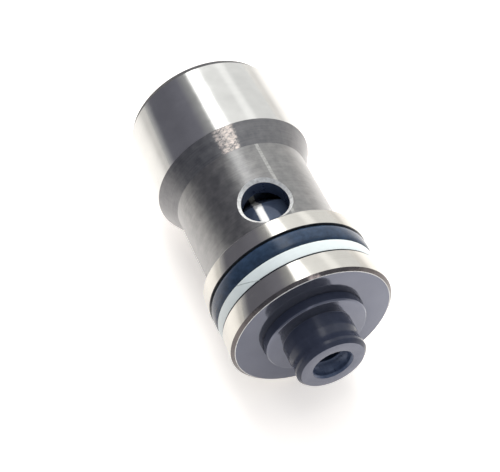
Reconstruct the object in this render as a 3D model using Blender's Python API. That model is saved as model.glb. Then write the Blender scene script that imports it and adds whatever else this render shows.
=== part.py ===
"""Poppet cartridge valve, lying on its two ground lands with its stem towards +X.

Every size is in millimetres. A station is a distance along the valve's axis from the sleeve's
front face, positive towards the stem; the far end of the sleeve is at a negative station.
"""

import math

import bmesh
import bpy
from mathutils import Matrix

MM = 0.001
SEGMENTS = 36
FINE_SEGMENTS = 24
WELD = 0.0001

# Clearances
RUNNING = 0.05
SEATED = 0.05

# Sleeve, outside
SLEEVE_LENGTH = 38.6
LAND_RADIUS = 11.0
FRONT_LAND = 3.1
SEAL_GROOVE_WIDTH = 4.55
SEAL_GROOVE_DEPTH = 2.05
REAR_LAND = 2.4
NECK_DEPTH = 1.6
NECK_LENGTH = 13.45
CONE_LENGTH = 3.0
LEAD_CHAMFER_LENGTH = 0.65
LEAD_CHAMFER_DEPTH = 0.5
FACE_CHAMFER_LENGTH = 0.4
FACE_CHAMFER_DEPTH = 0.5
FLANGE_BREAK = 0.2

# Sleeve, inside
NECK_WALL = 1.8
SEAT_SHOULDER = 0.75
MOUTH_BREAK = 0.2
SPRING_CHAMBER_STEP = 0.5
SPRING_CHAMBER_SETBACK = 1.2
GUIDE_POCKET_STEP = 0.5
GUIDE_INSET = 2.0
CLIP_GROOVE_DEPTH = 0.5
END_MOUTH_CHAMFER = 0.4

# Cross ports
PORT_RADIUS = 3.1
PORT_SETBACK = 4.35
PORT_CHAMFER = 0.6
PORT_CHAMFER_DEPTH = 1.2

# Seals
BACKUP_WIDTH = 1.8
BACKUP_CROWN = 0.15
O_RING_CROWN = 0.05
SPOOL_O_RING_SECTION = 1.7
SPOOL_BACKUP_WIDTH = 1.1
SPOOL_O_RING_SQUEEZE = 0.25
SPOOL_GROOVE_SETBACK = 6.95
GUIDE_RING_WIDTH = 2.0
GUIDE_RING_THICKNESS = 0.8
GUIDE_RING_SETBACK = 4.15
SEAT_O_RING_SECTION = 1.1

# Poppet spool
HUB_HEIGHT = 1.25
HUB_CHAMFER = 0.2
STEM_RADIUS = 4.65
STEM_LENGTH = 2.45
RELIEF_LENGTH = 1.45
RELIEF_DEPTH = 0.2
COLLAR_RADIUS = 4.7
COLLAR_LENGTH = 0.8
COLLAR_CHAMFER = 0.45
TAPPED_RADIUS = 2.5
TAPPED_DEPTH = 6.0
DRILL_POINT = 1.5
TAPPED_CHAMFER = 0.3
CONE_START = 15.8
TAIL_RADIUS = 2.0
TAIL_ROOT = 1.3
POPPET_OVERTRAVEL = 0.4
TAIL_INSET = 0.5
TAIL_CHAMFER = 0.3

# Seat
SEAT_CONE_STEP = 2.3
SEAT_LENGTH = 3.2

# Return spring and what holds it
SPRING_WIRE = 1.0
SPRING_SIDE_GAP = 0.8
SPRING_LENGTH = 6.7
SPRING_TURNS = 3.75
CLOSED_TURNS = 0.9
CLOSED_PITCH_FACTOR = 1.08
WASHER_THICKNESS = 0.5
THICK_SHIM = 0.5
THIN_SHIM = 0.3
PILOT_HEIGHT = 1.4
RETAINER_SIDE_GAP = 0.4
RETAINER_THICKNESS = 1.0
RETAINER_HUB_RADIUS = 4.6
RETAINER_HUB_HEIGHT = 1.2
COLLET_WALL = 1.0
COLLET_BEAD = 0.45
COLLET_BEAD_WIDTH = 0.6
COLLET_SPLIT_DEGREES = 5.0

# Rear guide
GUIDE_THICKNESS = 2.5
BUSH_WALL = 1.0
BUSH_STANDOFF = 0.6
FLOW_HOLES = 6
FLOW_HOLE_RADIUS = 1.7
CLIP_THICKNESS = 1.0
CLIP_WIDTH = 1.6
CLIP_GAP_DEGREES = 34.0
CLIP_EAR_RADIUS = 1.3
CLIP_EAR_HOLE_RADIUS = 0.55
CLIP_EAR_OVERLAP = 0.4
CLIP_EAR_THICKNESS = 0.96

# Radii worked out from the sizes
NECK_RADIUS = LAND_RADIUS - NECK_DEPTH
SEAT_POCKET_RADIUS = NECK_RADIUS - NECK_WALL
BORE_RADIUS = SEAT_POCKET_RADIUS - SEAT_SHOULDER
SPRING_CHAMBER_RADIUS = SEAT_POCKET_RADIUS + SPRING_CHAMBER_STEP
GUIDE_POCKET_RADIUS = SPRING_CHAMBER_RADIUS + GUIDE_POCKET_STEP
SPOOL_RADIUS = BORE_RADIUS - RUNNING
SEAT_RADIUS = SPOOL_RADIUS - SEAT_CONE_STEP
SPOOL_GROOVE_DEPTH = SPOOL_O_RING_SECTION - SPOOL_O_RING_SQUEEZE
SPRING_RADIUS = SEAT_POCKET_RADIUS - SPRING_SIDE_GAP - SPRING_WIRE / 2
RETAINER_RADIUS = SEAT_POCKET_RADIUS - RETAINER_SIDE_GAP
COLLET_RADIUS = TAIL_RADIUS + COLLET_WALL
BUSH_RADIUS = TAIL_RADIUS + BUSH_WALL
CLIP_INNER_RADIUS = GUIDE_POCKET_RADIUS + CLIP_GROOVE_DEPTH - SEATED - CLIP_WIDTH
FLOW_PITCH_RADIUS = (BUSH_RADIUS + CLIP_INNER_RADIUS) / 2

# Stations worked out from the sizes
GROOVE_FRONT = -FRONT_LAND
GROOVE_REAR = GROOVE_FRONT - SEAL_GROOVE_WIDTH
FLANGE_REAR = GROOVE_REAR - REAR_LAND
NECK_REAR = FLANGE_REAR - NECK_LENGTH
LAND_FRONT = NECK_REAR - CONE_LENGTH
SLEEVE_REAR = -SLEEVE_LENGTH
PORT_STATION = FLANGE_REAR - PORT_SETBACK
STEM_END = HUB_HEIGHT + STEM_LENGTH + RELIEF_LENGTH + COLLAR_LENGTH
SEAT_FRONT = -CONE_START - SEAT_CONE_STEP - SEATED
SEAT_REAR = SEAT_FRONT - SEAT_LENGTH
WASHER_FRONT = SEAT_REAR - SEATED
SPRING_FRONT = WASHER_FRONT - WASHER_THICKNESS - SEATED
SPRING_REAR = SPRING_FRONT - SPRING_LENGTH
THIN_SHIM_FRONT = SPRING_REAR - SEATED
THICK_SHIM_FRONT = THIN_SHIM_FRONT - THIN_SHIM - SEATED
RETAINER_FRONT = THICK_SHIM_FRONT - THICK_SHIM - SEATED
RETAINER_REAR = RETAINER_FRONT - RETAINER_THICKNESS - RETAINER_HUB_HEIGHT
GUIDE_REAR = SLEEVE_REAR + GUIDE_INSET
GUIDE_FRONT = GUIDE_REAR + GUIDE_THICKNESS
CLIP_FRONT = GUIDE_REAR - SEATED
AXIS_HEIGHT = LAND_RADIUS * math.cos(math.pi / SEGMENTS)
FRONT_FACE_X = -(STEM_END + SLEEVE_REAR) / 2


def finish(name, colour, roughness, metallic):
    """A plain surface finish: colour, roughness and how metallic it is."""
    material = bpy.data.materials.new(name)
    material.use_nodes = True
    shader = material.node_tree.nodes["Principled BSDF"]
    shader.inputs["Base Color"].default_value = (*colour, 1.0)
    shader.inputs["Roughness"].default_value = roughness
    shader.inputs["Metallic"].default_value = metallic
    return material


def empty(name, parent=None, place=(0.0, 0.0, 0.0)):
    """A point on the valve's axis that carries the pieces of one body."""
    point = bpy.data.objects.new(name, None)
    point.parent = parent
    point.location = [value * MM for value in place]
    bpy.context.scene.collection.objects.link(point)
    return point


def piece(name, shape, carrier, station, material=None):
    """Turns a shape in millimetres into an object on the axis, its origin at the station."""
    bmesh.ops.recalc_face_normals(shape, faces=shape.faces)
    shape.transform(Matrix.Scale(MM, 4))
    mesh = bpy.data.meshes.new(name)
    shape.to_mesh(mesh)
    shape.free()
    mesh.shade_smooth()
    mesh.set_sharp_from_angle(angle=math.radians(25))
    made = bpy.data.objects.new(name, mesh)
    made.parent = carrier
    made.location.x = station * MM
    bpy.context.scene.collection.objects.link(made)
    if material:
        mesh.materials.append(material)
    return made


def turned_shape(outline, segments=SEGMENTS, degrees=360.0, start=0.0):
    """Spins a closed outline of (x, radius) points about the X axis, a flat facing straight down."""
    shape = bmesh.new()
    lean = Matrix.Rotation(math.pi / segments + math.radians(start), 4, "X")
    rim = [shape.verts.new((x, 0.0, -radius)) for x, radius in outline]
    pairs = list(zip(rim, rim[1:] + rim[:1]))
    edges = [shape.edges.new(pair) for pair in pairs if pair[0].co.z or pair[1].co.z]
    bmesh.ops.transform(shape, matrix=lean, verts=rim)
    whole = degrees >= 360.0
    steps = segments if whole else round(segments * degrees / 360.0)
    if not whole:
        shape.faces.new(rim)
    bmesh.ops.spin(
        shape,
        geom=shape.faces[:] if not whole else rim + edges,
        axis=(1, 0, 0),
        cent=(0, 0, 0),
        angle=math.radians(degrees),
        steps=steps,
        use_merge=whole,
        use_duplicate=False,
    )
    bmesh.ops.remove_doubles(shape, verts=shape.verts, dist=WELD)
    return shape


def turned(name, carrier, station, outline, material, segments=SEGMENTS):
    """A lathe-turned piece. The outline's x values are counted from the piece's own station."""
    return piece(name, turned_shape(outline, segments), carrier, station, material)


def ring_outline(width, inner, outer, crown=0.0):
    """A plain ring's section, running from its front face at 0 to its rear face at -width."""
    outside = [(0.0, outer)]
    if crown:
        outside = [(0.0, outer - crown), (-crown, outer), (crown - width, outer)]
        outside.append((-width, outer - crown))
        return outside + [(-width, inner), (0.0, inner)]
    return outside + [(-width, outer), (-width, inner), (0.0, inner)]


def round_section(centre, middle, half_width, half_height, points=8):
    """An O-ring's section, a little flattened where its gland squeezes it."""
    steps = [2 * math.pi * index / points for index in range(points)]
    return [(centre + half_width * math.cos(a), middle + half_height * math.sin(a)) for a in steps]


def cylinders(places, radius, length, segments=FINE_SEGMENTS):
    """Parallel cylinders along X, centred on the (x, y, z) places."""
    shape = bmesh.new()
    along_x = Matrix.Rotation(math.pi / 2, 4, "Y")
    for place in places:
        bmesh.ops.create_cone(
            shape,
            cap_ends=True,
            segments=segments,
            radius1=radius,
            radius2=radius,
            depth=length,
            matrix=Matrix.Translation(place) @ along_x,
        )
    return shape


def helper(made):
    """Keeps a cutter or an added shape out of the finished valve."""
    made.hide_render = True
    made.display_type = "WIRE"
    return made


def combine(target, tool, operation):
    """Joins or cuts with another object, exactly."""
    step = target.modifiers.new(tool.name, "BOOLEAN")
    step.object = helper(tool)
    step.operation = operation
    step.solver = "EXACT"


def sleeve_outline():
    """The sleeve's section: down its outside to the far end, then back up through its bores."""
    floor = LAND_RADIUS - SEAL_GROOVE_DEPTH
    clip_groove_rear = CLIP_FRONT - CLIP_THICKNESS - 2 * SEATED
    clip_groove_radius = GUIDE_POCKET_RADIUS + CLIP_GROOVE_DEPTH
    return [
        (0.0, LAND_RADIUS - FACE_CHAMFER_DEPTH),
        (-FACE_CHAMFER_LENGTH, LAND_RADIUS),
        (GROOVE_FRONT, LAND_RADIUS),
        (GROOVE_FRONT, floor),
        (GROOVE_REAR, floor),
        (GROOVE_REAR, LAND_RADIUS),
        (FLANGE_REAR + FLANGE_BREAK, LAND_RADIUS),
        (FLANGE_REAR, LAND_RADIUS - FLANGE_BREAK),
        (FLANGE_REAR, NECK_RADIUS),
        (NECK_REAR, NECK_RADIUS),
        (LAND_FRONT, LAND_RADIUS),
        (SLEEVE_REAR + LEAD_CHAMFER_LENGTH, LAND_RADIUS),
        (SLEEVE_REAR, LAND_RADIUS - LEAD_CHAMFER_DEPTH),
        (SLEEVE_REAR, GUIDE_POCKET_RADIUS + END_MOUTH_CHAMFER),
        (SLEEVE_REAR + END_MOUTH_CHAMFER, GUIDE_POCKET_RADIUS),
        (clip_groove_rear, GUIDE_POCKET_RADIUS),
        (clip_groove_rear, clip_groove_radius),
        (GUIDE_REAR, clip_groove_radius),
        (GUIDE_REAR, GUIDE_POCKET_RADIUS),
        (GUIDE_FRONT + SEATED, GUIDE_POCKET_RADIUS),
        (GUIDE_FRONT + SEATED, SPRING_CHAMBER_RADIUS),
        (NECK_REAR - SPRING_CHAMBER_SETBACK, SPRING_CHAMBER_RADIUS),
        (NECK_REAR - SPRING_CHAMBER_SETBACK, SEAT_POCKET_RADIUS),
        (SEAT_FRONT + SEATED, SEAT_POCKET_RADIUS),
        (SEAT_FRONT + SEATED, BORE_RADIUS),
        (-MOUTH_BREAK, BORE_RADIUS),
        (0.0, BORE_RADIUS + MOUTH_BREAK),
    ]


def port_drill_outline():
    """The drill that makes both cross ports, with the chamfers of the deburring cutter."""
    rim = PORT_RADIUS + PORT_CHAMFER
    root = NECK_RADIUS - PORT_CHAMFER_DEPTH
    upper = [(-LAND_RADIUS, 0.0), (-LAND_RADIUS, rim), (-NECK_RADIUS, rim), (-root, PORT_RADIUS)]
    return upper + [(-x, radius) for x, radius in reversed(upper)]


def make_sleeve(carrier, material):
    """Steel sleeve: two ground lands, a waisted neck, a seal groove and two opposite cross ports."""
    sleeve = turned("sleeve", carrier, 0.0, sleeve_outline(), material)
    shape = turned_shape(port_drill_outline(), FINE_SEGMENTS)
    drill = piece("port_drill", shape, carrier, PORT_STATION)
    drill.rotation_euler.y = -math.pi / 2
    combine(sleeve, drill, "DIFFERENCE")


def make_sleeve_seals(carrier, rubber, white):
    """O-ring towards the neck and one white back-up ring towards the front face, in one groove."""
    floor = LAND_RADIUS - SEAL_GROOVE_DEPTH + RUNNING
    backup = ring_outline(BACKUP_WIDTH, floor, LAND_RADIUS - RUNNING, BACKUP_CROWN)
    turned("sleeve_backup_ring", carrier, GROOVE_FRONT - SEATED, backup, white)
    front = GROOVE_FRONT - 2 * SEATED - BACKUP_WIDTH
    half_width = (front - GROOVE_REAR - SEATED) / 2
    crown = LAND_RADIUS - O_RING_CROWN
    section = round_section(-half_width, (floor + crown) / 2, half_width, (crown - floor) / 2)
    turned("sleeve_o_ring", carrier, front, section, rubber)


def spool_grooves():
    """(front, rear, floor radius) of the guide-ring groove and the seal groove in the long land."""
    seal_width = SPOOL_O_RING_SECTION + 2 * SPOOL_BACKUP_WIDTH + 4 * SEATED
    seal_front = HUB_HEIGHT - SPOOL_GROOVE_SETBACK
    guide_front = HUB_HEIGHT - GUIDE_RING_SETBACK
    guide_floor = SPOOL_RADIUS - GUIDE_RING_THICKNESS
    return [
        (guide_front, guide_front - GUIDE_RING_WIDTH - 2 * SEATED, guide_floor),
        (seal_front, seal_front - seal_width, SPOOL_RADIUS - SPOOL_GROOVE_DEPTH),
    ]


def relief_points(steps=3):
    """The shallow concave relief between the stem and its collar."""
    start = HUB_HEIGHT + STEM_LENGTH
    points = []
    for index in range(steps + 1):
        share = index / steps
        base = STEM_RADIUS + share * (COLLAR_RADIUS - STEM_RADIUS)
        points.append((start + share * RELIEF_LENGTH, base - RELIEF_DEPTH * math.sin(math.pi * share)))
    return points


def spool_outline():
    """The poppet spool's section, from the tapped hole's point round to the end of the tail."""
    cone_rear = SEAT_FRONT - POPPET_OVERTRAVEL
    cone_end = SPOOL_RADIUS - (-CONE_START - cone_rear)
    tail_end = SLEEVE_REAR + TAIL_INSET
    bead_front, bead_rear = collet_groove()
    hole_floor = STEM_END - TAPPED_DEPTH
    outline = [
        (hole_floor - DRILL_POINT, 0.0),
        (hole_floor, TAPPED_RADIUS),
        (STEM_END - TAPPED_CHAMFER, TAPPED_RADIUS),
        (STEM_END, TAPPED_RADIUS + TAPPED_CHAMFER),
        (STEM_END, COLLAR_RADIUS - COLLAR_CHAMFER),
        (STEM_END - COLLAR_CHAMFER, COLLAR_RADIUS),
    ]
    outline += reversed(relief_points())
    outline += [
        (HUB_HEIGHT, STEM_RADIUS),
        (HUB_HEIGHT, SPOOL_RADIUS - HUB_CHAMFER),
        (HUB_HEIGHT - HUB_CHAMFER, SPOOL_RADIUS),
    ]
    for front, rear, floor in spool_grooves():
        outline += [(front, SPOOL_RADIUS), (front, floor), (rear, floor), (rear, SPOOL_RADIUS)]
    outline += [
        (-CONE_START, SPOOL_RADIUS),
        (cone_rear, cone_end),
        (cone_rear - TAIL_ROOT, TAIL_RADIUS),
        (bead_front, TAIL_RADIUS),
        (bead_front, TAIL_RADIUS - COLLET_BEAD),
        (bead_rear, TAIL_RADIUS - COLLET_BEAD),
        (bead_rear, TAIL_RADIUS),
        (tail_end + TAIL_CHAMFER, TAIL_RADIUS),
        (tail_end, TAIL_RADIUS - TAIL_CHAMFER),
        (tail_end, 0.0),
    ]
    return outline


def collet_groove():
    """Front and rear stations of the groove in the tail that the collets' bead sits in."""
    middle = (RETAINER_FRONT + RETAINER_REAR) / 2
    half = COLLET_BEAD_WIDTH / 2 + SEATED
    return middle + half, middle - half


def make_spool(carrier, steel, rubber, white, filled):
    """Blackened poppet spool with its tapped stem, guide ring and dynamic seal."""
    outline = [(x - HUB_HEIGHT, radius) for x, radius in spool_outline()]
    turned("poppet_spool", carrier, HUB_HEIGHT, outline, steel)
    guide_groove, seal_groove = spool_grooves()
    reach = BORE_RADIUS - RUNNING
    guide = ring_outline(GUIDE_RING_WIDTH, guide_groove[2] + RUNNING, reach)
    turned("spool_guide_ring", carrier, guide_groove[0] - SEATED, guide, filled)
    floor = seal_groove[2] + RUNNING
    backup = ring_outline(SPOOL_BACKUP_WIDTH, floor, reach)
    front = seal_groove[0] - SEATED
    turned("spool_backup_front", carrier, front, backup, white)
    front -= SPOOL_BACKUP_WIDTH + SEATED
    half = SPOOL_O_RING_SECTION / 2
    section = round_section(-half, (floor + reach) / 2, half, (reach - floor) / 2)
    turned("spool_o_ring", carrier, front, section, rubber)
    front -= SPOOL_O_RING_SECTION + SEATED
    turned("spool_backup_rear", carrier, front, backup, white)


def make_seat(carrier, steel, rubber):
    """Hardened seat ring against the bore's shoulder, with its own static O-ring."""
    outer = SEAT_POCKET_RADIUS - SEATED
    floor = outer - SEAT_O_RING_SECTION
    half = SEAT_O_RING_SECTION / 2 + SEATED
    middle = -SEAT_LENGTH / 2
    outline = [
        (0.0, SEAT_RADIUS),
        (0.0, outer),
        (middle + half, outer),
        (middle + half, floor),
        (middle - half, floor),
        (middle - half, outer),
        (-SEAT_LENGTH, outer),
        (-SEAT_LENGTH, SEAT_RADIUS),
    ]
    turned("seat_insert", carrier, SEAT_FRONT, outline, steel)
    radius = SEAT_O_RING_SECTION / 2 - SEATED / 2
    section = round_section(0.0, floor + SEATED + radius, radius, radius)
    turned("seat_o_ring", carrier, SEAT_FRONT + middle, section, rubber)


def spring_advance(turn):
    """How far along the spring a turn has come, 0 to 1: slow over the closed end turns."""
    closed_pitch = SPRING_WIRE * CLOSED_PITCH_FACTOR
    travel = SPRING_LENGTH - SPRING_WIRE
    closed = CLOSED_TURNS * closed_pitch
    open_turns = SPRING_TURNS - 2 * CLOSED_TURNS
    if turn <= CLOSED_TURNS:
        run = turn * closed_pitch
    elif turn <= CLOSED_TURNS + open_turns:
        run = closed + (turn - CLOSED_TURNS) / open_turns * (travel - 2 * closed)
    else:
        run = travel - (SPRING_TURNS - turn) * closed_pitch
    return run / travel


def make_spring(carrier, steel, points_per_turn=18):
    """Helical compression spring of round wire with closed ends."""
    curve = bpy.data.curves.new("return_spring", "CURVE")
    curve.dimensions = "3D"
    curve.bevel_depth = SPRING_WIRE / 2 * MM
    curve.bevel_resolution = 1
    curve.use_fill_caps = True
    count = round(SPRING_TURNS * points_per_turn) + 1
    line = curve.splines.new("POLY")
    line.points.add(count - 1)
    for index, point in enumerate(line.points):
        turn = SPRING_TURNS * index / (count - 1)
        angle = 2 * math.pi * turn
        x = -SPRING_WIRE / 2 - spring_advance(turn) * (SPRING_LENGTH - SPRING_WIRE)
        y = SPRING_RADIUS * math.sin(angle)
        z = SPRING_RADIUS * math.cos(angle)
        point.co = (x * MM, y * MM, z * MM, 1.0)
    curve.materials.append(steel)
    spring = bpy.data.objects.new("return_spring", curve)
    spring.parent = carrier
    spring.location.x = SPRING_FRONT * MM
    bpy.context.scene.collection.objects.link(spring)


def make_retainer(carrier, steel, bright):
    """Spring retainer with two preload shims, held on the tail by a pair of split collets."""
    spring_inner = SPRING_RADIUS - SPRING_WIRE / 2
    pilot = spring_inner - 4 * SEATED
    inner = COLLET_RADIUS + RUNNING
    outline = [
        (PILOT_HEIGHT, inner),
        (PILOT_HEIGHT, pilot),
        (0.0, pilot),
        (0.0, RETAINER_RADIUS),
        (-RETAINER_THICKNESS, RETAINER_RADIUS),
        (-RETAINER_THICKNESS, RETAINER_HUB_RADIUS),
        (RETAINER_REAR - RETAINER_FRONT, RETAINER_HUB_RADIUS),
        (RETAINER_REAR - RETAINER_FRONT, inner),
    ]
    turned("spring_retainer", carrier, RETAINER_FRONT, outline, steel)
    shim_outer = RETAINER_RADIUS - 2 * SEATED
    for name, front, thickness in (
        ("preload_shim_thick", THICK_SHIM_FRONT, THICK_SHIM),
        ("preload_shim_thin", THIN_SHIM_FRONT, THIN_SHIM),
    ):
        shim = ring_outline(thickness, pilot + RUNNING, shim_outer)
        turned(name, carrier, front, shim, bright)
    bead_front, bead_rear = (x - RETAINER_FRONT for x in collet_groove())
    length = RETAINER_REAR - RETAINER_FRONT
    wall = TAIL_RADIUS + RUNNING
    bead = TAIL_RADIUS - COLLET_BEAD + RUNNING
    collet = [
        (0.0, wall),
        (0.0, COLLET_RADIUS),
        (length, COLLET_RADIUS),
        (length, wall),
        (bead_rear + SEATED, wall),
        (bead_rear + SEATED, bead),
        (bead_front - SEATED, bead),
        (bead_front - SEATED, wall),
    ]
    span = 180.0 - 2 * COLLET_SPLIT_DEGREES
    for name, start in (("collet_left", 0.0), ("collet_right", 180.0)):
        shape = turned_shape(collet, SEGMENTS, span, start + COLLET_SPLIT_DEGREES)
        piece(name, shape, carrier, RETAINER_FRONT, bright)


def make_washer(carrier, bright):
    """Hardened washer that the spring's fixed end bears on."""
    outline = ring_outline(WASHER_THICKNESS, SEAT_RADIUS, SEAT_POCKET_RADIUS - 2 * SEATED)
    turned("spring_washer", carrier, WASHER_FRONT, outline, bright)


def make_rear_guide(carrier, steel, bronze):
    """Spider that closes the sleeve's far end round the flow holes and guides the tail."""
    outer = GUIDE_POCKET_RADIUS - SEATED
    outline = ring_outline(GUIDE_THICKNESS, BUSH_RADIUS + SEATED, outer)
    spider = turned("rear_guide", carrier, GUIDE_FRONT, outline, steel)
    steps = [2 * math.pi * index / FLOW_HOLES for index in range(FLOW_HOLES)]
    middle = -GUIDE_THICKNESS / 2
    places = [(middle, FLOW_PITCH_RADIUS * math.sin(a), FLOW_PITCH_RADIUS * math.cos(a)) for a in steps]
    shape = cylinders(places, FLOW_HOLE_RADIUS, 2 * GUIDE_THICKNESS)
    combine(spider, piece("flow_drill", shape, carrier, GUIDE_FRONT), "DIFFERENCE")
    bush = ring_outline(GUIDE_THICKNESS + BUSH_STANDOFF, TAIL_RADIUS + RUNNING, BUSH_RADIUS)
    turned("guide_bush", carrier, GUIDE_FRONT + BUSH_STANDOFF, bush, bronze)


def make_clip(carrier, steel):
    """Internal retaining ring with two plier ears, its gap at the top."""
    section = ring_outline(CLIP_THICKNESS, CLIP_INNER_RADIUS, CLIP_INNER_RADIUS + CLIP_WIDTH)
    half_gap = CLIP_GAP_DEGREES / 2
    shape = turned_shape(section, 2 * SEGMENTS, 360.0 - CLIP_GAP_DEGREES, 180.0 + half_gap)
    clip = piece("retaining_ring", shape, carrier, CLIP_FRONT, steel)
    ear_pitch = CLIP_INNER_RADIUS - CLIP_EAR_OVERLAP * CLIP_EAR_RADIUS
    lean = math.radians(half_gap) + CLIP_EAR_RADIUS / ear_pitch
    middle = -CLIP_THICKNESS / 2
    places = [
        (middle, side * ear_pitch * math.sin(lean), ear_pitch * math.cos(lean)) for side in (-1, 1)
    ]
    ears = cylinders(places, CLIP_EAR_RADIUS, CLIP_EAR_THICKNESS)
    combine(clip, piece("clip_ears", ears, carrier, CLIP_FRONT), "UNION")
    holes = cylinders(places, CLIP_EAR_HOLE_RADIUS, 3 * CLIP_THICKNESS, 12)
    combine(clip, piece("clip_ear_holes", holes, carrier, CLIP_FRONT), "DIFFERENCE")


def main():
    """Clears the scene and builds the valve."""
    for leftover in list(bpy.data.objects):
        bpy.data.objects.remove(leftover)

    ground_steel = finish("ground_steel", (0.50, 0.49, 0.47), 0.25, 1.0)
    black_steel = finish("black_oxide_steel", (0.05, 0.05, 0.065), 0.3, 0.9)
    bright_steel = finish("bright_steel", (0.55, 0.55, 0.55), 0.3, 1.0)
    spring_steel = finish("spring_steel", (0.22, 0.22, 0.24), 0.35, 1.0)
    nitrile = finish("nitrile_rubber", (0.012, 0.015, 0.03), 0.3, 0.0)
    ptfe = finish("white_ptfe", (0.80, 0.86, 0.85), 0.4, 0.0)
    filled_ptfe = finish("bronze_filled_ptfe", (0.20, 0.13, 0.07), 0.5, 0.1)
    bronze = finish("bearing_bronze", (0.55, 0.36, 0.16), 0.35, 1.0)

    valve = empty("valve_axis", None, (FRONT_FACE_X, 0.0, AXIS_HEIGHT))
    lift = empty("retainer_body", valve)
    turn = empty("spool_body", lift)

    make_sleeve(valve, ground_steel)
    make_sleeve_seals(valve, nitrile, ptfe)
    make_seat(valve, black_steel, nitrile)
    make_washer(valve, bright_steel)
    make_spring(valve, spring_steel)
    make_rear_guide(valve, black_steel, bronze)
    make_clip(valve, spring_steel)
    make_retainer(lift, black_steel, bright_steel)
    make_spool(turn, black_steel, nitrile, ptfe, filled_ptfe)


main()
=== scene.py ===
"""A poppet cartridge valve lying on a white table, put together from its own parts.

Pieces are modelled in millimetres on the valve's axis and then set in the frame in metres.
A station is a distance along that axis from the sleeve's front face, positive towards the stem.
"""

import math

import bpy
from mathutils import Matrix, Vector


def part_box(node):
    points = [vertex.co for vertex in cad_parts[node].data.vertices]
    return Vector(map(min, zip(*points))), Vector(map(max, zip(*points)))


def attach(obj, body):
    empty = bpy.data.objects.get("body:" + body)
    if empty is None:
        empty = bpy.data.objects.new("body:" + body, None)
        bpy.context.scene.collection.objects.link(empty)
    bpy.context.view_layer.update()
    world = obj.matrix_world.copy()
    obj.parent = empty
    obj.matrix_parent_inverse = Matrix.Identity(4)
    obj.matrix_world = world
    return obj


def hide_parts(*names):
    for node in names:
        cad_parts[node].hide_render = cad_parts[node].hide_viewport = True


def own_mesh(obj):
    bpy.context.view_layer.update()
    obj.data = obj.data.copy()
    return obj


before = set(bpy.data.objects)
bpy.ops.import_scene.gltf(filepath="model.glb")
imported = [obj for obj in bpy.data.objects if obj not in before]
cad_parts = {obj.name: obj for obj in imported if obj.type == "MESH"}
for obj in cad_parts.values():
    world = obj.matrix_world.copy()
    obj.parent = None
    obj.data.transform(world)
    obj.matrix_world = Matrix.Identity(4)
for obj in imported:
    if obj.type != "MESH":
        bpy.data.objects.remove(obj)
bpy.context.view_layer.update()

# ---------------------------------------------------------------- Camera
# A short telephoto held above the stem end, looking down along the valve. The valve's length
# runs away from it, so the tapped stem comes nearest.

bpy.ops.object.select_all(action="DESELECT")
bpy.ops.object.camera_add(
    location=(0.09479, -0.03131, 0.14676),
    rotation=[math.radians(angle) for angle in (36.033, 3.701, 67.685)],
)
camera = bpy.context.object
camera.name = "camera"
camera.data.lens = 91.7
camera.data.sensor_width = 36.0
camera.data.clip_start = 0.001
camera.data.clip_end = 20.0
bpy.context.scene.camera = camera
bpy.context.scene.view_settings.view_transform = "Standard"

# ---------------------------------------------------------------- Table and light
# A white table in a white room. The table's colour and a glow of its own are painted, brightest
# near the valve and dimmer farther out: a painted pool of light, and the glow lightens its shadows.
# One long ceiling light lies over the valve's axis, and the side that the viewer stands on is
# darker, which is what the ground lands mirror as a dark band.

FLOOR_DROP = 0.00005
# Painted pool of light on the table: its colour and glow are full within the first distance of the valve
# and fall to the given share beyond the second.
PAINTED_POOL_WITHIN = 0.025
PAINTED_POOL_BEYOND = 0.15
PAINTED_POOL_FAR_SHARE = 0.58
PAINTED_TABLE_GLOW = 0.52
ROOM_PEAK = 3.6

bpy.ops.mesh.primitive_plane_add(size=6.0, location=(0.0, 0.0, -FLOOR_DROP))
table = bpy.context.object
table.name = "table"
room = bpy.data.worlds.new("room")
bpy.context.scene.world = room
room.use_nodes = True


def node(tree, kind, **settings):
    """Adds a node; a setting named like an input fills that input, any other sets the node."""
    made = tree.nodes.new(kind)
    for key, value in settings.items():
        if key in made.inputs:
            made.inputs[key].default_value = value
        else:
            setattr(made, key, value)
    return made


def math_node(tree, operation, first, second=None):
    """A Math node on sockets or plain numbers. Returns its result."""
    made = tree.nodes.new("ShaderNodeMath")
    made.operation = operation
    for index, value in enumerate((first, second)):
        if value is None:
            continue
        if isinstance(value, (int, float)):
            made.inputs[index].default_value = value
        else:
            tree.links.new(value, made.inputs[index])
    return made.outputs[0]


def ramp(tree, source, stops):
    """A colour ramp from (position, brightness or colour) stops."""
    made = tree.nodes.new("ShaderNodeValToRGB")
    elements = made.color_ramp.elements
    while len(elements) < len(stops):
        elements.new(0.5)
    for element, (position, value) in zip(elements, stops):
        element.position = position
        colour = (value,) * 3 if isinstance(value, (int, float)) else value
        element.color = (*colour, 1.0)
    tree.links.new(source, made.inputs[0])
    return made.outputs[0]


def mixed(tree, factor, first, second, blend="MIX"):
    """Blends two colours, each a socket or three numbers, by a socket or a number."""
    made = tree.nodes.new("ShaderNodeMix")
    made.data_type = "RGBA"
    made.blend_type = blend
    for index, value in ((0, factor), (6, first), (7, second)):
        if isinstance(value, bpy.types.NodeSocket):
            tree.links.new(value, made.inputs[index])
        else:
            made.inputs[index].default_value = value if index == 0 else (*value, 1.0)
    return made.outputs[2]


def between(tree, source, low, high, to_low=0.0, to_high=1.0, smooth=True):
    """Maps a socket from one range to another and holds it there."""
    made = tree.nodes.new("ShaderNodeMapRange")
    made.interpolation_type = "SMOOTHSTEP" if smooth else "LINEAR"
    for name, value in (("From Min", low), ("From Max", high), ("To Min", to_low), ("To Max", to_high)):
        made.inputs[name].default_value = value
    tree.links.new(source, made.inputs["Value"])
    return made.outputs[0]


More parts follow.
